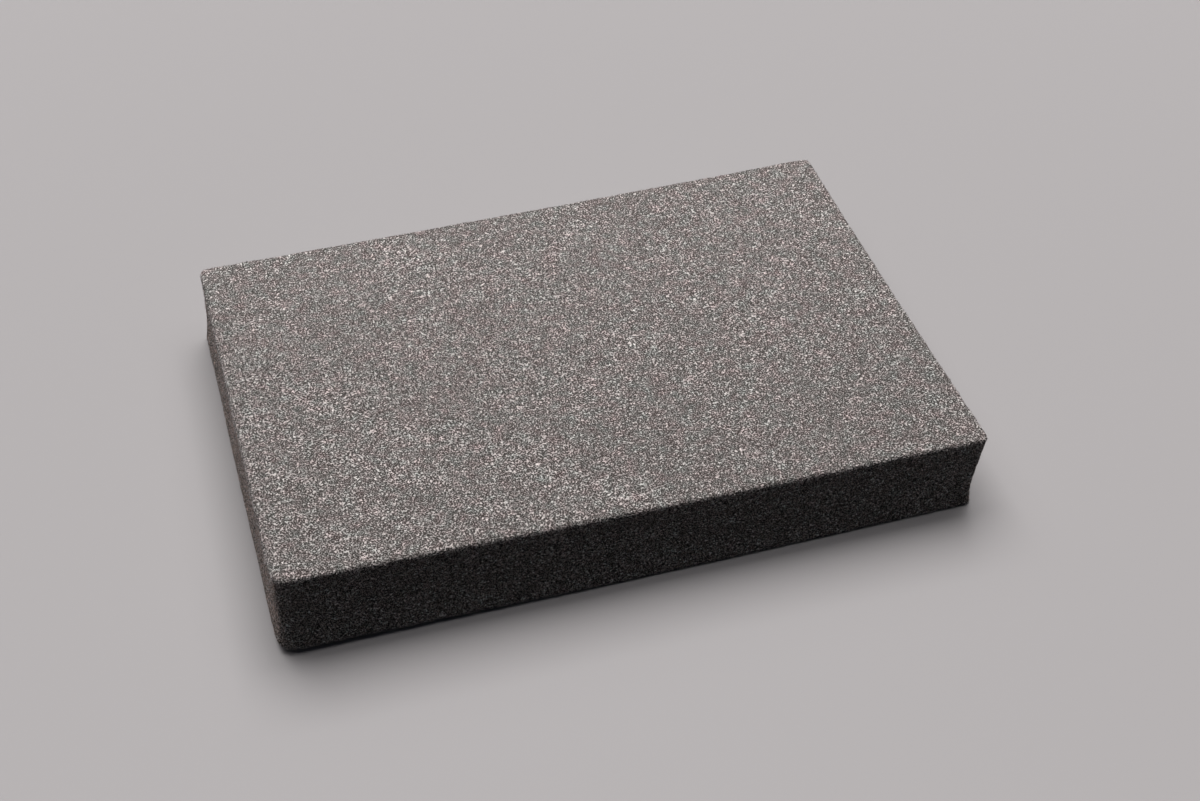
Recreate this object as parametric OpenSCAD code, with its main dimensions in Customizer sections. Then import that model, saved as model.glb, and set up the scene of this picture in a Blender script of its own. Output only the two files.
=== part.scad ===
// Foam block: a flat slab of charcoal open-cell foam, cut out of a sheet.
//
// It is one piece. The top face and the underside are the flat faces of the
// sheet. The blade squeezes the foam as it cuts, so once the foam springs back
// all four side walls are slightly hollow and every cut edge is a little soft.
// The cut also leans a little, which leaves the top face off to one side of
// the underside: two neighbouring walls are undercut and the other two slope
// outwards. One corner has curled up a little, as foam does once it has been
// bent, so the block rests on the rest of its underside.
//
// Frame: the origin is on the ground plane, in the middle of the block's
// outline, with +X along the length, +Y along the width and +Z up.

/* [Slab] */
// Length of the top face and of the underside, mm
slab_length = 150; // [110:1:400]
// Width of the top face and of the underside, mm
slab_width = 105; // [90:1:300]
// Thickness of the sheet, mm
slab_thickness = 20; // [8:0.5:60]

/* [Cut sides] */
// Depth of the hollow half way up each side wall, mm
hollow_depth = 0.6; // [0.2:0.05:1.5]
// How far the top face lies towards +X of the underside, mm
lean_along = 1.2; // [-3:0.1:3]
// How far the top face lies towards -Y of the underside, mm
lean_across = 0.4; // [-3:0.1:3]

/* [Soft edges] */
// Radius of the edges round the top face and the underside, mm
edge_radius = 0.5; // [0.2:0.05:2]

/* [Curled corner] */
// How far the corner at -X and -Y is curled up off the ground, mm
corner_lift = 1.6; // [0.2:0.1:4]
// Distance from that corner to the start of the curl, along the length, mm
curl_along = 84; // [20:1:100]
// Distance from that corner to the start of the curl, along the width, mm
curl_across = 74; // [20:1:80]

/* [Hidden] */

charcoal = [0.30, 0.29, 0.285];

// Flat strips that a wall's hollow and a rim's rounding are made of.
hollow_strips = 8;
rim_strips = 3;

half_size = [slab_length, slab_width] / 2;
lean = [lean_along, -lean_across];

// Section of a wall, from the edge of the underside up to the edge of the top.
// Each step gives how far it lies inside the slab's outline, and its height.
rim_turns = [for (k = [0:rim_strips]) 90 * k / rim_strips];
bottom_rim = [for (a = rim_turns) edge_radius * [1 - sin(a), 1 - cos(a)]];
top_rim = [for (a = rim_turns) edge_radius * [1 - cos(a), sin(a) - 1] + [0, slab_thickness]];
hollow = [
    for (k = [1:hollow_strips - 1])
        let (rise = k / hollow_strips)
            [4 * hollow_depth * rise * (1 - rise), edge_radius + rise * (slab_thickness - 2 * edge_radius)]
];
wall = concat(bottom_rim, hollow, top_rim);

// Share of the whole lift that a place in plan gets: 1 at the curled corner,
// less and less away from it, and none from the start of the curl on.
function curl(place) =
    let (away = place + half_size)
        max(0, 1 - away.x / curl_along - away.y / curl_across);

// Outline of the slab at one step of the wall's section. It starts at the
// curled corner and runs round through the start of the curl on the front
// wall, the three flat corners and the start of the curl on the left wall.
function outline(step) =
    let (
        middle = lean * (step.y / slab_thickness - 0.5),
        low = middle - half_size + step.x * [1, 1],
        high = middle + half_size - step.x * [1, 1],
        inside = low + half_size,
        start_along = curl_along * (1 - inside.y / curl_across) - half_size.x,
        start_across = curl_across * (1 - inside.x / curl_along) - half_size.y
    )
        [low, [start_along, low.y], [high.x, low.y], high, [low.x, high.y], [low.x, start_across]];

// The block: outlines stacked from the underside to the top, with flat faces
// between them. The underside and the top are each one large flat face and the
// curled corner.
module foam_block() {
    corners = 6;
    last = corners * (len(wall) - 1);
    points = [
        for (step = wall, place = outline(step)) [place.x, place.y, step.y + corner_lift * curl(place)]
    ];
    underside = [[0, 1, 5], [1, 2, 3, 4, 5]];
    top = [for (face = underside) [for (k = [len(face) - 1:-1:0]) last + face[k]]];
    walls = [
        for (foot = [0:corners:last - 1], k = [0:corners - 1])
            let (next = (k + 1) % corners)
                [foot + k, foot + corners + k, foot + corners + next, foot + next]
    ];
    color(charcoal) polyhedron(points = points, faces = concat(underside, top, walls), convexity = 4);
}

foam_block();
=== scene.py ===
"""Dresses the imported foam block: its cut skin, its loose strut ends, a floor, soft lamps and a camera."""

import logging
import math
from dataclasses import dataclass, field
from enum import Enum

import bpy
import numpy as np
from mathutils import Matrix, Vector


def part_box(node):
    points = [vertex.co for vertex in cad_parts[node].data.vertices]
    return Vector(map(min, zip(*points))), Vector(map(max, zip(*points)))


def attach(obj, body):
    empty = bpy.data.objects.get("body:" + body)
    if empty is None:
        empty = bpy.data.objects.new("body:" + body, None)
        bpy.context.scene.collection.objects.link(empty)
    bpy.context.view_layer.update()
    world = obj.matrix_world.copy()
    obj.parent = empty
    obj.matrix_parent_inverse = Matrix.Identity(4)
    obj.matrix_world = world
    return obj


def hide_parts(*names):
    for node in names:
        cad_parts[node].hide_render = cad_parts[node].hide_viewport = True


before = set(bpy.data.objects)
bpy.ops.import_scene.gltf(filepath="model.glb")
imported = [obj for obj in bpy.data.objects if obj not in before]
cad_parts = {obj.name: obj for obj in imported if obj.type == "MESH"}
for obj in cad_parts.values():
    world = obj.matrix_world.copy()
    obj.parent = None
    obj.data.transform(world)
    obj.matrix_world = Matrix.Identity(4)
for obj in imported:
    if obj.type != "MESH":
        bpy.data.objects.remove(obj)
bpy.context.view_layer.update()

log = logging.getLogger("foam_block")

MM = 0.001  # in metres
TINY = 1e-12  # the least length that anything is divided by
NODE = "foam_block"
BODY = "root"
BAKE_MAP = "OFBake"  # the name of the skin's flat map


class Side(Enum):
    """The parts of the block's surface."""

    TOP = 0
    UNDERSIDE = 1
    WALL = 2
    RIM = 3


def linear(colour: str) -> tuple[float, float, float, float]:
    """Turns a written sRGB colour into linear light.

    Args:
        colour: hex digits after a hash, such as "#3A3836".

    Returns:
        Linear red, green and blue, and an alpha of 1.
    """
    parts = (int(colour[i:i + 2], 16) / 255 for i in (1, 3, 5))
    light = (p / 12.92 if p <= 0.04045 else ((p + 0.055) / 1.055) ** 2.4 for p in parts)
    return (*light, 1.0)


def add(
    tree: bpy.types.NodeTree, kind: str, feeds: dict[str | int, object] | None = None, **settings: object
) -> dict[str, bpy.types.NodeSocket]:
    """Adds a shader node with its settings and links.

    Args:
        tree: the material's or world's nodes.
        kind: Blender's name for the node, without its leading "ShaderNode".
        feeds: what each input gets, by its name or number: a socket to link from, or a value.
        settings: the node's own properties.

    Returns:
        The node's output sockets by name.
    """
    node = tree.nodes.new("ShaderNode" + kind)
    for name, value in settings.items():
        setattr(node, name, value)
    inputs = {s.name: s for s in reversed(node.inputs) if s.enabled}
    for name, value in (feeds or {}).items():
        socket = node.inputs[name] if isinstance(name, int) else inputs[name]
        if isinstance(value, bpy.types.NodeSocket):
            tree.links.new(value, socket)
        else:
            socket.default_value = value
    return {s.name: s for s in reversed(node.outputs) if s.enabled}


def empty_material(name: str) -> bpy.types.Material:
    """A new material without any nodes."""
    material = bpy.data.materials.new(name)
    material.use_nodes = True
    material.node_tree.nodes.clear()
    return material


def lumps(points: np.ndarray, size: float, seed: int) -> np.ndarray:
    """Smooth random lumps in space.

    Args:
        points: places in millimetres, one a row.
        size: distance from one lump to the next, in millimetres.
        seed: starts the random draws.

    Returns:
        A height from -1 to 1 for each point.
    """
    side = 64  # lattice steps before the lumps repeat
    shift = 16 * side  # whole repeats, which keep every place above 0
    lattice = np.random.default_rng(seed).uniform(-1, 1, (side, side, side))
    at = points / size + shift
    low = np.floor(at).astype(int)
    part = at - low
    part = part * part * (3 - 2 * part)
    total = np.zeros(len(points))
    for corner in np.ndindex(2, 2, 2):
        spot = (low + corner) % side
        weight = np.prod(np.where(corner, part, 1 - part), axis=1)
        total += weight * lattice[spot[:, 0], spot[:, 1], spot[:, 2]]
    return total


def unit(rows: np.ndarray) -> np.ndarray:
    """Each row at a length of 1."""
    return rows / np.maximum(np.linalg.norm(rows, axis=-1, keepdims=True), TINY)


def make_piece(
    name: str, points: np.ndarray, faces: np.ndarray, material: bpy.types.Material, smooth: bool
) -> bpy.types.Object:
    """Makes a mesh piece from arrays.

    Args:
        name: the piece's name.
        points: corners in millimetres, one a row.
        faces: corner numbers, one face a row.
        material: its finish.
        smooth: whether its faces are shaded smooth.

    Returns:
        The piece, linked to the scene.
    """
    mesh = bpy.data.meshes.new(name)
    mesh.from_pydata((points * MM).tolist(), [], faces.tolist())
    mesh.polygons.foreach_set("use_smooth", np.full(len(faces), smooth))
    mesh.materials.append(material)
    mesh.update()
    piece = bpy.data.objects.new(name, mesh)
    bpy.context.scene.collection.objects.link(piece)
    return piece


@dataclass(frozen=True)
class BladeCutFoam:
    """Open-cell polyether polyurethane foam, pigmented charcoal and cut with a moving blade.

    The blade opens every cell that it passes. What is left is a net of thin struts, which catch the light on
    their crests, round pores that swallow it, so the face is a fine salt-and-pepper grain. That light and
    shade
    is painted into the colour: painted highlights on the crests and painted shade in the pores, over a
    polymer that is charcoal throughout. Here and there a cell kept its thin shiny window; its sparkle is a
    painted glint, a pale colour in the cell. The struts are bare polymer, a half-gloss, so the face turns
    paler where it mirrors a lamp or is seen at a glancing angle. It is also painted paler towards the back
    and the right, as painted light.
    """

    name: str = "blade_cut_foam_painted_shade"
    pore_shade: str = "#403C3A"  # an open cell, painted dark as painted shade in the hole
    strut: str = "#FFF4F1"  # painted highlight: the palest strut crest, painted pale where the charcoal polymer catches the light
    window_glint: str = "#D2CAC7"  # painted glint: a cell that kept its window, painted pale for the lamp that it mirrors
    warm: str = "#FFE7E8"  # tint of the one kind of patch
    cool: str = "#E8FEFA"  # tint of the other kind
    cell: float = 0.31  # mm across a cell; a real one is 0.3 to 0.5
    glint_windows: float = 0.03  # share of the cells that kept a window, each painted as a glint
    torn: float = 0.2  # part of that share, either way, in which a window is only partly there
    foot: float = 0.38  # how far from a cell's middle a strut begins, in cells
    crest: float = 0.95  # how far from it a strut is palest, in cells
    thinnest: float = 0.3  # how pale the painted highlight on the finest struts is, against the thickest
    rarity: float = 1.3  # how much rarer thick struts are than thin ones
    patch: float = 2.6  # mm across a faint patch of tint
    patch_detail: float = 2.0  # how many layers of ever smaller patches lie over the large ones
    painted_brightening: tuple[float, float, float] = (0.2, 1.7, 0.0)  # painted light: how much paler it is painted over a metre each way, where light and sheen are stronger
    relief: float = 0.1  # mm from a strut's crest down into a pore
    ior: float = 1.5
    gloss: float = 0.6  # how shiny a bare strut is; pores have no shine
    smoothest: float = 0.4  # roughness of the smoothest strut
    roughest: float = 0.7  # roughness of the roughest strut
    nap: float = 0.6  # how much the strut ends shine at a glancing angle, as a nap does
    nap_roughness: float = 0.4
    nap_colour: str = "#FFFFFF"  # the colour of that shine

    def struts(
        self, tree: bpy.types.NodeTree, crest: bpy.types.NodeSocket, chance: bpy.types.NodeSocket
    ) -> bpy.types.NodeSocket:
        """Makes the net of struts, in which thick ones with a paler painted highlight are rarer than thin
        ones.

        Args:
            tree: the material's nodes.
            crest: 0 in a pore and 1 on a strut's crest.
            chance: a random share for each cell.

        Returns:
            How much bare strut shows, from 0 to 1.
        """
        rare = add(tree, "Math", {0: chance, 1: self.rarity}, operation="POWER")
        thick = add(tree, "MapRange", {"Value": rare["Value"], "To Min": self.thinnest, "To Max": 1.0})
        return add(tree, "Math", {0: crest, 1: thick["Result"]}, operation="MULTIPLY")["Value"]

    def grain(
        self, tree: bpy.types.NodeTree, bare: bpy.types.NodeSocket, chance: bpy.types.NodeSocket
    ) -> bpy.types.NodeSocket:
        """Colours the pores with painted shade, the struts with painted highlights and the few windows that
        are left with painted glints.

        Args:
            tree: the material's nodes.
            bare: how much bare strut shows.
            chance: a random share for each cell.

        Returns:
            The colour of the grain.
        """
        # painted light: pale painted highlights on the strut crests, dark painted shade in the pores
        painted_cell_shading = add(tree, "Mix", {
            "Factor": bare, "A": linear(self.pore_shade), "B": linear(self.strut),
        }, data_type="RGBA")
        # painted glints: the few cells with a window are painted pale
        window_glint_mask = add(tree, "MapRange", {
            "Value": chance,
            "From Min": 1 - self.glint_windows * (1 + self.torn), "From Max": 1 - self.glint_windows * (1 - self.torn),
        })
        return add(tree, "Mix", {
            "Factor": window_glint_mask["Result"], "A": painted_cell_shading["Result"], "B": linear(self.window_glint),
        }, data_type="RGBA")["Result"]

    def tinted(
        self, tree: bpy.types.NodeTree, grain: bpy.types.NodeSocket, place: bpy.types.NodeSocket
    ) -> bpy.types.NodeSocket:
        """Lays faint patches of tint over the grain, and painted light: a slow brightening painted in towards
        the back and the right.

        Args:
            tree: the material's nodes.
            grain: the colour of the grain.
            place: where on the block it is, in metres.

        Returns:
            The skin's colour.
        """
        patches = add(tree, "TexNoise", {
            "Vector": place, "Scale": 1 / (self.patch * MM), "Detail": self.patch_detail,
        })
        tint = add(tree, "Mix", {
            "Factor": patches["Fac"], "A": linear(self.warm), "B": linear(self.cool),
        }, data_type="RGBA")
        patchy = add(tree, "Mix", {
            "Factor": 1.0, "A": grain, "B": tint["Result"],
        }, data_type="RGBA", blend_type="MULTIPLY")
        # painted light: the colour is painted paler towards the back and the right
        painted_gradient = add(tree, "VectorMath", {0: place, 1: self.painted_brightening}, operation="DOT_PRODUCT")
        level = add(tree, "Math", {0: painted_gradient["Value"], 1: 1.0}, operation="ADD")
        return add(tree, "VectorMath", {
            0: patchy["Result"], "Scale": level["Value"],
        }, operation="SCALE")["Vector"]

    def make(self) -> bpy.types.Material:
        """Builds the material.

        Returns:
            The finish of the cut skin.
        """
        material = empty_material(self.name)
        tree = material.node_tree
        place = add(tree, "TexCoord")["Object"]
        cells = add(tree, "TexVoronoi", {"Vector": place, "Scale": 1 / (self.cell * MM)}, feature="F1")
        chance = add(tree, "SeparateColor", {"Color": cells["Color"]})
        crest = add(tree, "MapRange", {
            "Value": cells["Distance"], "From Min": self.foot, "From Max": self.crest,
            "To Min": 0.0, "To Max": 1.0,
        }, interpolation_type="SMOOTHSTEP")
        bare = self.struts(tree, crest["Result"], chance["Blue"])
        colour = self.tinted(tree, self.grain(tree, bare, chance["Red"]), place)
        roughness = add(tree, "MapRange", {
            "Value": chance["Green"], "To Min": self.smoothest, "To Max": self.roughest,
        })
        bumps = add(tree, "Math", {0: crest["Result"], 1: chance["Red"]}, operation="ADD")
        shine = add(tree, "Math", {0: bare, 1: self.gloss}, operation="MULTIPLY")
        sheen = add(tree, "Math", {0: bare, 1: self.nap}, operation="MULTIPLY")
        normal = add(tree, "Bump", {
            "Height": bumps["Value"], "Distance": self.relief * MM, "Strength": 1.0,
        })
        surface = add(tree, "BsdfPrincipled", {
            "Base Color": colour, "Roughness": roughness["Result"], "IOR": self.ior,
            "Specular IOR Level": shine["Value"], "Normal": normal["Normal"],
            "Sheen Weight": sheen["Value"], "Sheen Roughness": self.nap_roughness,
            "Sheen Tint": linear(self.nap_colour),
        })
        add(tree, "OutputMaterial", {"Surface": surface["BSDF"]})
        return material


@dataclass(frozen=True)
class StrutPolymer:
    """The bare polymer of a cut strut: charcoal polyurethane, half-gloss, left by the blade as a short spike.

    Its small flat sides each mirror the lamps in another direction, which gives the face its glitter
    and its outline a fine fuzz.
    """

    colour: str = "#A09896"
    ior: float = 1.5
    roughness: float = 0.42

    def make(self) -> bpy.types.Material:
        """Builds the material.

        Returns:
            The finish of the strut ends.
        """
        material = empty_material("charcoal_polyurethane_strut")
        tree = material.node_tree
        surface = add(tree, "BsdfPrincipled", {
            "Base Color": linear(self.colour), "Roughness": self.roughness, "IOR": self.ior,
        })
        add(tree, "OutputMaterial", {"Surface": surface["BSDF"]})
        return material


@dataclass(frozen=True)
class PaintedTable:
    """A table top in plain pale grey paint, nearly matt.

    It shows the soft shadow, and turns a little paler where it mirrors the softbox. In the dark room
    around it hardly any light comes back from the table, so the block's front stands in deep shade.
    """

    colour: str = "#ADA9A9"  # as it is seen, also in a mirror and through glass
    bounced: str = "#353536"  # the darker colour with which it lights what stands on it
    ior: float = 1.45
    gloss: float = 0.1  # share of the usual shine
    roughness: float = 0.4
    grain: float = 0.9  # how coarse the paint is, which evens its matt share out

    def make(self) -> bpy.types.Material:
        """Builds the material.

        Returns:
            The finish of the floor.
        """
        material = empty_material("painted_table")
        tree = material.node_tree
        rays = add(tree, "LightPath")
        mirrored = add(tree, "Math", {
            0: rays["Is Glossy Ray"], 1: rays["Is Transmission Ray"],
        }, operation="MAXIMUM")
        seen = add(tree, "Math", {0: rays["Is Camera Ray"], 1: mirrored["Value"]}, operation="MAXIMUM")
        colour = add(tree, "Mix", {
            "Factor": seen["Value"], "A": linear(self.bounced), "B": linear(self.colour),
        }, data_type="RGBA")
        surface = add(tree, "BsdfPrincipled", {
            "Base Color": colour["Result"], "Roughness": self.roughness, "IOR": self.ior,
            "Specular IOR Level": self.gloss, "Diffuse Roughness": self.grain,
        })
        add(tree, "OutputMaterial", {"Surface": surface["BSDF"]})
        return material


@dataclass
class SlabForm:
    """How the block really lies: the cut slab with the bends and hollows of a soft thing. Sizes in mm."""

    length: float
    width: float
    thickness: float
    lean_along: float = 1.2  # how far the top lies to the right of the underside
    lean_across: float = 0.4  # how far the top lies in front of the underside
    box_along: float = 1.1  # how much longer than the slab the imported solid's box is, by its lean
    box_across: float = 0.32  # the same across the width
    hollow: float = 0.58  # depth of the walls' hollow
    hollow_height: float = 0.42  # share of the thickness at which the walls are most hollow
    hollow_curve: float = 2.0  # 2 is a round hollow, 1 a straight-sided one
    foot_hollow: float = 0.9  # depth of the right wall's hollow, which is low, with a foot under it
    foot_height: float = 0.22  # share of the thickness at which that wall is most hollow
    foot_curve: float = 1.3  # between round and straight-sided
    edge_radius: float = 0.9  # of the edges round the top and the underside
    corner_radius: float = 1.8  # of the upright corners, seen from above
    corner_lift: float = 1.6  # how far the front left corner curls up off the floor
    curl_along: float = 84.0  # from that corner to the start of the curl, along the length
    curl_across: float = 74.0  # the same along the width
    curl_softness: float = 0.15  # share of the curl over which its start is eased
    turned_back: float = 0.76  # how far the back wall's ends lie in front of and behind a straight cut
    hollow_back: float = 0.53  # how far the back wall's middle lies in front of its ends
    bowed_front: float = 0.15  # how far the middles of the front wall's edges lie off a straight cut
    twisted_front: float = 0.3  # how far the ends of the front wall's edges lie off a straight cut
    hollow_right: float = 0.35  # how far the right wall's middle lies inside its ends
    turned_right: float = 0.23  # how far the ends of the right wall's top edge lie off a straight cut
    tucked_left: float = 0.3  # how far the left wall's foot lies further in at its front end
    worn: float = 0.9  # how far the foot of the front left corner is rubbed down, along and across
    worn_top: float = 0.6  # the same at its top
    worn_reach: float = 6.0  # how far from that corner the wear reaches

    @classmethod
    def inside(cls, low: Vector, high: Vector) -> "SlabForm":
        """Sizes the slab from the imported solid's box, which its lean and its curled corner enlarge.

        Args:
            low: the box's lowest corner in metres.
            high: the box's highest corner in metres.

        Returns:
            The slab that fills the box once it leans and curls.
        """
        length, width, height = (high - low) / MM
        return cls(length - cls.box_along, width - cls.box_across, height - cls.corner_lift)

    def hollow_at(self, rise: np.ndarray, right: np.ndarray) -> np.ndarray:
        """How far a wall lies inside its rims.

        Args:
            rise: share of the thickness, from 0 at the floor to 1 at the top.
            right: 1 on the right wall, which has a low foot, and 0 on the others.

        Returns:
            The depth of the hollow in mm.
        """
        lowest = self.hollow_height + (self.foot_height - self.hollow_height) * right
        depth = self.hollow + (self.foot_hollow - self.hollow) * right
        curve = self.hollow_curve + (self.foot_curve - self.hollow_curve) * right
        reach = np.where(rise > lowest, 1 - lowest, lowest)
        return depth * np.maximum(0, 1 - (np.abs(rise - lowest) / reach) ** curve)

    def settle(self, points: np.ndarray, outward: np.ndarray) -> np.ndarray:
        """Leans, hollows, bows, wears and curls a square-cut slab.

        Args:
            points: places on the square-cut slab, one a row.
            outward: how each lies towards a wall in plan, and 0 on the top and underside.

        Returns:
            The places on the real block.
        """
        x, y, z = points.T.copy()
        rise = z / self.thickness
        depth = self.hollow_at(rise, np.maximum(outward[:, 0], 0))
        along, across = 2 * x / self.length, 2 * y / self.width
        to_back, to_front, to_right = (1 + across) / 2, (1 - across) / 2, (1 + along) / 2
        x = x - depth * outward[:, 0] + self.lean_along * (rise - 0.5)
        y = y - depth * outward[:, 1] - self.lean_across * (rise - 0.5)
        y = y + (self.turned_back * along - self.hollow_back * (1 - along ** 2)) * to_back
        y = y + self.bowed_front * (2 * rise - 1) * (1 - along ** 2) * to_front
        y = y - self.twisted_front * along * (2 * rise - 1) * to_front
        x = x + (self.turned_right * across * rise - self.hollow_right * (1 - across ** 2)) * to_right
        x = x + self.tucked_left * (1 - rise) * to_front * (1 - to_right)
        away = np.hypot(x + self.length / 2, y + self.width / 2)
        nearness = np.maximum(0, 1 - away / self.worn_reach) ** 2
        wear = (self.worn + (self.worn_top - self.worn) * rise) * nearness
        x, y = x + wear, y + wear
        curl = 1 - (x + self.length / 2) / self.curl_along - (y + self.width / 2) / self.curl_across
        z = z + self.corner_lift * (curl + np.hypot(curl, self.curl_softness)) / 2
        return np.stack([x, y, z], 1)


@dataclass
class CutSkin:
    """The whole closed outside of the block, with its cell-sized relief. All sizes in mm."""

    form: SlabForm
    face_finish: BladeCutFoam
    # the walls' darker copy of the finish, whose extra darkness is painted shade
    shaded_wall_finish: BladeCutFoam
    pitch: float = 0.68  # between the skin's corners
    rim_steps: int = 5  # bands that an edge's rounding is made of
    grain: float = 0.05  # height of the relief from cell to cell
    clumps: float = 0.06  # height of the relief from clump to clump of cells
    clump_size: float = 2.2  # across a clump
    waves: float = 0.1  # height of the slow waves that the blade leaves
    wave_size: float = 14.0  # from one wave to the next
    lowest: float = 0.01  # height of the underside, which clears the table by a hair
    map_gap: float = 1.5  # between the parts of the flat map
    seed: int = 11
    points: np.ndarray = field(init=False)  # the skin's corners, one a row
    quads: np.ndarray = field(init=False)  # the corner numbers of each face
    sides: np.ndarray = field(init=False)  # the part of the surface that each face is on
    flat_map: np.ndarray = field(init=False)  # a place on the flat map for each corner of each face

    def lines(self, size: float) -> np.ndarray:
        """Where the skin's grid lines lie across a face.

        Args:
            size: the face's whole length, out to its walls.

        Returns:
            Their places from the middle, closer at the ends, where the corners turn.
        """
        turn = self.form.corner_radius - self.form.edge_radius
        half = size / 2 - self.form.edge_radius
        inner = half - turn
        count = round(2 * inner / self.pitch)
        ends = inner + turn * np.array([0.5, 1.0])  # half way through a corner's turn, and at its end
        return np.concatenate([-ends[::-1], np.linspace(-inner, inner, count + 1), ends])

    def plan(self) -> tuple[np.ndarray, np.ndarray]:
        """The grid of a flat face with its corners rounded off.

        Returns:
            The grid's places in plan, and the way out at each.
        """
        turn = self.form.corner_radius - self.form.edge_radius
        xs, ys = self.lines(self.form.length), self.lines(self.form.width)
        grid = np.stack(np.meshgrid(xs, ys, indexing="ij"), -1)
        inner = np.array([self.form.length, self.form.width]) / 2 - self.form.corner_radius
        past = np.maximum(np.abs(grid) - inner, 0)
        reach = past.max(-1, keepdims=True)
        out = unit(past) * np.sign(grid)
        rounded = np.sign(grid) * np.minimum(np.abs(grid), inner) + out * np.minimum(reach, turn)
        return rounded, out

    def profile(self) -> tuple[np.ndarray, np.ndarray]:
        """The upright line from the top's edge, round the rim, down the wall and under.

        Returns:
            How far each step lies outside the top's edge, and its height.
        """
        radius, thickness = self.form.edge_radius, self.form.thickness
        turn = np.radians(np.linspace(0, 90, self.rim_steps + 1))
        steps = round((thickness - 2 * radius) / self.pitch)
        wall = np.linspace(thickness - radius, radius, steps + 1)[1:-1]
        out = np.concatenate([radius * np.sin(turn), np.full(len(wall), radius), radius * np.cos(turn)])
        up = np.concatenate([
            thickness - radius + radius * np.cos(turn), wall, radius - radius * np.sin(turn),
        ])
        return out, up

    def weave(self) -> None:
        """Lays out the closed skin: a grid on top, rings down the walls and a grid underneath."""
        plan, out = self.plan()
        nx, ny = plan.shape[:2]
        number = np.arange(nx * ny).reshape(nx, ny)
        ring = np.concatenate([number[:-1, 0], number[-1, :-1], number[:0:-1, -1], number[0, :0:-1]])
        flat, ways = plan.reshape(-1, 2), out.reshape(-1, 2)
        reach, height = self.profile()
        thickness = self.form.thickness

        def level(places: np.ndarray, z: float) -> np.ndarray:
            """Places in plan at one height."""
            return np.column_stack([places, np.full(len(places), z)])

        rings = [level(flat[ring] + ways[ring] * s, z) for s, z in zip(reach[1:-1], height[1:-1])]
        points = np.concatenate([level(flat, thickness), *rings, level(flat, 0.0)])
        unmoved = np.zeros((nx * ny, 2))  # the top and the underside face no wall
        outward = np.concatenate([unmoved] + [ways[ring]] * len(rings) + [unmoved])

        cells = np.stack([number[:-1, :-1], number[1:, :-1], number[1:, 1:], number[:-1, 1:]], -1)
        cells = cells.reshape(-1, 4)
        under = nx * ny + len(rings) * len(ring)
        around = [ring, *np.arange(nx * ny, under).reshape(len(rings), len(ring)), ring + under]
        bands = [np.stack([a, b, np.roll(b, -1), np.roll(a, -1)], -1) for a, b in zip(around, around[1:])]
        last = len(bands) - 1
        kinds = [Side.RIM if min(k, last - k) < self.rim_steps else Side.WALL for k in range(last + 1)]

        self.quads = np.concatenate([cells, *bands, cells[:, ::-1] + under])
        self.sides = np.concatenate(
            [np.full(len(cells), Side.TOP.value)]
            + [np.full(len(ring), kind.value) for kind in kinds]
            + [np.full(len(cells), Side.UNDERSIDE.value)]
        )
        self.flat_map = self.unroll(flat, ring, cells, reach, height)
        self.points = self.rough(self.form.settle(points, outward))

    def unroll(
        self, flat: np.ndarray, ring: np.ndarray, cells: np.ndarray, reach: np.ndarray, height: np.ndarray
    ) -> np.ndarray:
        """Lays the skin out flat on one square, each millimetre the same size, to bake its pattern on.

        Args:
            flat: the top's grid in plan.
            ring: the grid's outer corners in order.
            cells: the top's faces.
            reach: the profile's steps outwards.
            height: the profile's steps upwards.

        Returns:
            A place on the square for each corner of each face.
        """
        length, width = self.form.length, self.form.width
        gap = self.map_gap
        top = flat[cells] + [length / 2 + gap, width / 2 + gap]
        under = flat[cells[:, ::-1]] + [length / 2 + gap, 3 * width / 2 + 2 * gap]
        down = np.concatenate([[0], np.cumsum(np.hypot(np.diff(reach), np.diff(height)))])
        run = flat[ring]
        steps = np.linalg.norm(np.roll(run, -1, axis=0) - run, axis=1)
        long_side, short_side = len(self.lines(length)) - 1, len(self.lines(width)) - 1
        first = np.cumsum([0, long_side, short_side, long_side])
        column = down[-1] + gap
        left = length + 2 * gap
        shelves = [
            (left, gap), (left + 2 * column, gap), (left + column, gap), (left + 2 * column, width + 2 * gap),
        ]
        bands = []
        for a, b in zip(down, down[1:]):
            for start, count, (x, y) in zip(first, (long_side, short_side) * 2, shelves):
                along = np.concatenate([[0], np.cumsum(steps[start:start + count])]) + y
                p, q = along[:-1], along[1:]
                near, far = np.full(count, x + a), np.full(count, x + b)
                corners = [(near, p), (far, p), (far, q), (near, q)]
                bands.append(np.stack([np.stack(corner, -1) for corner in corners], 1))
        side = left + 3 * column + gap
        return np.concatenate([top, *bands, under]) / side

    def ways_out(self, points: np.ndarray) -> np.ndarray:
        """The way out of the block at each corner of the skin.

        Args:
            points: the skin's corners.

        Returns:
            One unit vector a row.
        """
        a, b, c, d = (points[self.quads[:, k]] for k in range(4))
        face = np.cross(c - a, d - b)
        total = np.zeros_like(points)
        for k in range(4):
            np.add.at(total, self.quads[:, k], face)
        return unit(total)

    def rough(self, points: np.ndarray) -> np.ndarray:
        """Gives the skin its cell-sized relief, and keeps it above the floor.

        Args:
            points: the smooth skin's corners.

        Returns:
            The corners of the cut skin.
        """
        draws = np.random.default_rng(self.seed)
        height = (
            self.waves * lumps(points, self.wave_size, self.seed + 1)
            + self.clumps * lumps(points, self.clump_size, self.seed + 2)
            + self.grain * draws.uniform(-1, 1, len(points))
        )
        points = points + self.ways_out(points) * height[:, None]
        points[:, 2] = np.maximum(points[:, 2], self.lowest)
        return points

    def build(self) -> bpy.types.Object:
        """Makes the piece.

        Returns:
            The skin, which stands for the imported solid.
        """
        self.weave()
        piece = make_piece("foam_skin", self.points, self.quads, self.face_finish.make(), True)
        piece.data.materials.append(self.shaded_wall_finish.make())
        piece.data.polygons.foreach_set("material_index", (self.sides == Side.WALL.value).astype(np.int32))
        chart = piece.data.uv_layers.new(name=BAKE_MAP)
        chart.data.foreach_set("uv", self.flat_map.reshape(-1).astype(np.float32))
        return piece


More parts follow.
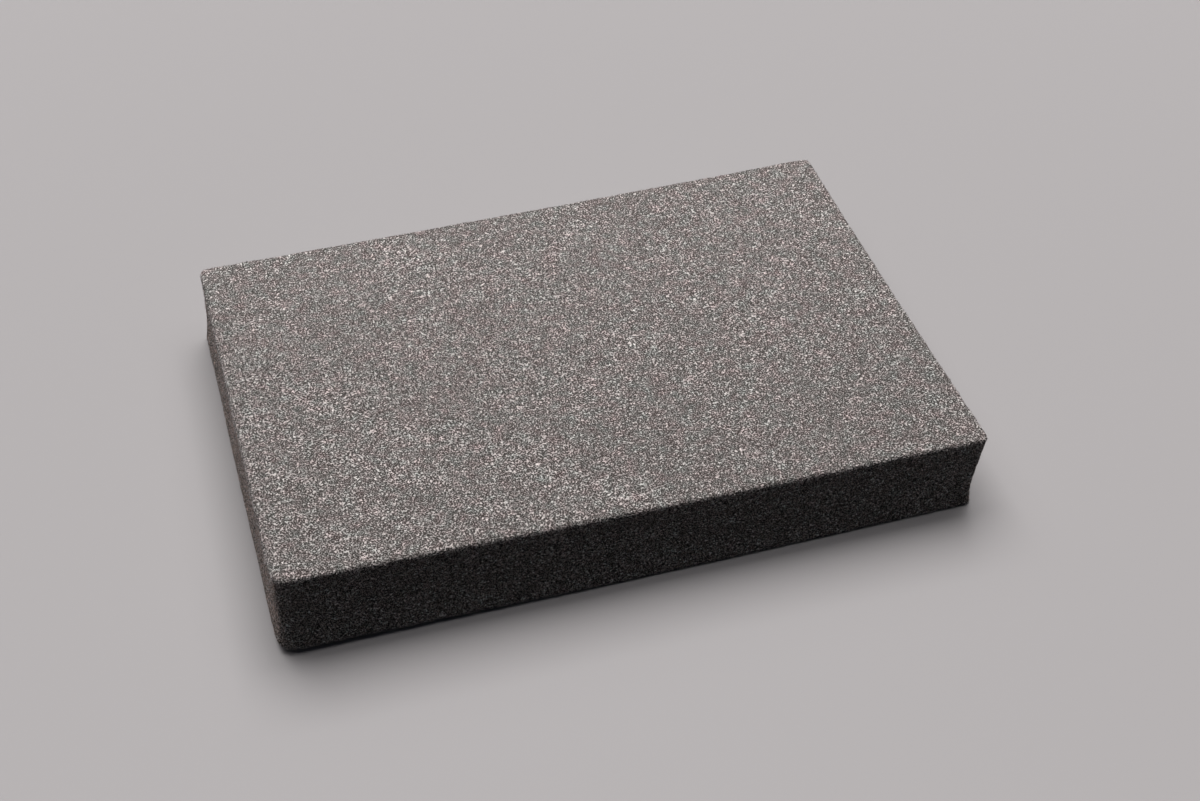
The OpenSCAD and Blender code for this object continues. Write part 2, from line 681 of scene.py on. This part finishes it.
@dataclass
class StrutEnds:
    """The short spikes that the blade leaves of the struts it cut, on one part of the skin. Sizes in mm."""

    skin: CutSkin
    finish: bpy.types.Material
    name: str
    where: tuple[Side, ...]
    density: float  # spikes on a square millimetre
    longest: float = 0.55
    shortest: float = 0.25
    thickest: float = 0.085  # from a spike's axis to its edges
    thinnest: float = 0.045
    flattest: float = 5.0  # degrees above the skin
    steepest: float = 50.0
    lowest: float = 0.004  # height of the lowest spike, which clears the table by a hair
    seed: int = 31

    def build(self) -> bpy.types.Object:
        """Scatters the spikes and makes them one piece.

        Returns:
            The piece.
        """
        draws = np.random.default_rng(self.seed)
        chosen = np.isin(self.skin.sides, [side.value for side in self.where])
        a, b, c, d = (self.skin.points[self.skin.quads[chosen, k]] for k in range(4))
        face = np.cross(c - a, d - b)
        area = np.linalg.norm(face, axis=1) / 2
        count = draws.poisson(area * self.density)
        a, b, c, d, face = (np.repeat(rows, count, axis=0) for rows in (a, b, c, d, unit(face)))
        number = len(face)
        s, t = draws.uniform(0, 1, (2, number, 1))
        root = (a * (1 - s) + b * s) * (1 - t) + (d * (1 - s) + c * s) * t
        lying = unit(np.cross(face, unit(draws.normal(size=(number, 3)))))
        slope = np.radians(draws.uniform(self.flattest, self.steepest, (number, 1)))
        way = lying * np.cos(slope) + face * np.sin(slope)
        across = unit(np.cross(way, face))
        over = np.cross(way, across)
        long = draws.uniform(self.shortest, self.longest, (number, 1))
        wide = draws.uniform(self.thinnest, self.thickest, (number, 1))
        turn = draws.uniform(0, 2 * math.pi, (number, 1))
        foot = root - face * wide - way * wide
        third = 2 * math.pi / 3
        corners = [
            foot + wide * (across * np.cos(angle) + over * np.sin(angle))
            for angle in (turn, turn + third, turn + 2 * third)
        ]
        points = np.stack([*corners, root + way * long], 1).reshape(-1, 3)
        points[:, 2] = np.maximum(points[:, 2], self.lowest)
        spike = np.array([[0, 1, 3], [1, 2, 3], [2, 0, 3], [0, 2, 1]])  # three flanks and the foot
        faces = (np.arange(number)[:, None, None] * 4 + spike).reshape(-1, 3)
        return make_piece(self.name, points, faces, self.finish, False)


@dataclass
class FoamBlock:
    """The block: a cut skin with strut ends on each part of it.

    The top and the underside are the faces of the sheet. The walls are cut across it and get a darker copy
    of the finish, which is painted shade, as the walls stand out of the light: blacker pores, fewer thick
    pale struts, white windows as painted glints, a stronger painted brightening towards the back and the
    right, and a strong, brownish nap. Their cells are drawn a little finer than real ones, which are 0.3 to
    0.5 mm across.
    """

    form: SlabForm
    face_finish: BladeCutFoam = BladeCutFoam("split_polyether_foam")
    # painted light: the walls' darker copy, with black pores and rare pale struts as painted shade, white
    # windows as painted glints, and painted paler towards the back and the right
    shaded_wall_finish: BladeCutFoam = BladeCutFoam(
        "blade_cut_foam_painted_shade", pore_shade="#040404", strut="#FAF8F6", window_glint="#FFFFFF",
        cell=0.28, glint_windows=0.06, foot=0.39, crest=0.7, rarity=3.5, relief=0.14,
        nap=1.6, nap_colour="#FFD4C0", painted_brightening=(1.5, 3.0, 0.0),
    )
    strut_finish: StrutPolymer = StrutPolymer()

    def build(self) -> None:
        """Makes the pieces, hangs the strut ends on the skin and the skin on the body, and hides the imported
        solid.
        """
        skin = CutSkin(self.form, self.face_finish, self.shaded_wall_finish)
        piece = skin.build()
        strut = self.strut_finish.make()
        covers = [
            StrutEnds(skin, strut, "strut_ends_top", (Side.TOP,), density=2.2, seed=31),
            StrutEnds(skin, strut, "strut_ends_walls", (Side.WALL,), density=1.6, seed=32),
            StrutEnds(
                skin, strut, "strut_ends_rims", (Side.RIM,),
                density=5.0, thickest=0.17, thinnest=0.08, seed=33,
            ),
            StrutEnds(skin, strut, "strut_ends_underside", (Side.UNDERSIDE,), density=0.8, seed=34),
        ]
        for cover in covers:
            ends = cover.build()
            ends.parent = piece
            log.info("%s: %d faces", ends.name, len(ends.data.polygons))
        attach(piece, BODY)
        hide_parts(NODE)
        log.info("%s: %d faces", piece.name, len(piece.data.polygons))


@dataclass(frozen=True)
class SoftPanel:
    """A flat lamp that faces straight down. Sizes in metres, power in watts."""

    name: str
    centre: tuple[float, float, float]
    size: tuple[float, float]
    power: float

    def build(self) -> None:
        """Hangs the lamp."""
        lamp = bpy.data.lights.new(self.name, "AREA")
        lamp.shape = "RECTANGLE"
        lamp.size, lamp.size_y = self.size
        lamp.energy = self.power
        holder = bpy.data.objects.new(self.name, lamp)
        holder.location = self.centre
        bpy.context.scene.collection.objects.link(holder)


@dataclass
class Studio:
    """A pale table in a dim room, under a softbox above and behind the block. Sizes in metres.

    The spill is the wide, weaker light round it, which a softbox throws back from a ceiling.
    """

    floor_size: float = 12.0
    table: PaintedTable = PaintedTable()
    softbox: SoftPanel = SoftPanel("softbox", centre=(0.06, 0.96, 2.0), size=(1.75, 1.78), power=70.5)
    spill: SoftPanel = SoftPanel("spill", centre=(0.05, 1.3, 2.2), size=(3.3, 4.4), power=55.5)
    room: str = "#DCE6FF"  # colour of the light that the room's own surfaces send back
    room_light: float = 0.035  # its strength

    def build(self) -> None:
        """Makes the floor, the lamps and the room's light."""
        half = self.floor_size / 2 / MM
        corners = np.array([[-half, -half, 0], [half, -half, 0], [half, half, 0], [-half, half, 0]])
        floor = make_piece("table_top", corners, np.array([[0, 1, 2, 3]]), self.table.make(), False)
        self.softbox.build()
        self.spill.build()
        world = bpy.data.worlds.new("dim_room")
        world.use_nodes = True
        world.node_tree.nodes.clear()
        glow = add(world.node_tree, "Background", {"Color": linear(self.room), "Strength": self.room_light})
        add(world.node_tree, "OutputWorld", {"Surface": glow["Background"]})
        bpy.context.scene.world = world
        bpy.context.scene.view_settings.view_transform = "Standard"
        log.info("studio: floor, softbox, its spill and the room")


@dataclass
class Viewpoint:
    """Where the camera stands: angles in degrees, the rest in mm."""

    azimuth: float = -16.34  # to the left of straight in front
    elevation: float = 41.93
    roll: float = -0.22
    distance: float = 432.9  # from the point that it aims at
    aim: tuple[float, float, float] = (6.5, 0.12, 2.7)
    lens: float = 57.56
    sensor: float = 36.0

    def build(self) -> None:
        """Makes the camera and looks through it."""
        around, up = math.radians(self.azimuth), math.radians(self.elevation)
        back = Vector((math.sin(around) * math.cos(up), -math.cos(around) * math.cos(up), math.sin(up)))
        data = bpy.data.cameras.new("camera")
        data.lens = self.lens
        data.sensor_width = self.sensor
        camera = bpy.data.objects.new("camera", data)
        place = Vector(self.aim) * MM + back * self.distance * MM
        turn = (-back).to_track_quat("-Z", "Y").to_matrix() @ Matrix.Rotation(math.radians(self.roll), 3, "Z")
        camera.matrix_world = Matrix.Translation(place) @ turn.to_4x4()
        bpy.context.scene.collection.objects.link(camera)
        bpy.context.scene.camera = camera
        log.info("camera in place")


def main() -> None:
    """Builds the dressed block and its studio in order."""
    logging.basicConfig(level=logging.INFO, format="%(name)s %(message)s")
    FoamBlock(SlabForm.inside(*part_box(NODE))).build()
    Studio().build()
    Viewpoint().build()


if __name__ == "__main__":
    main()
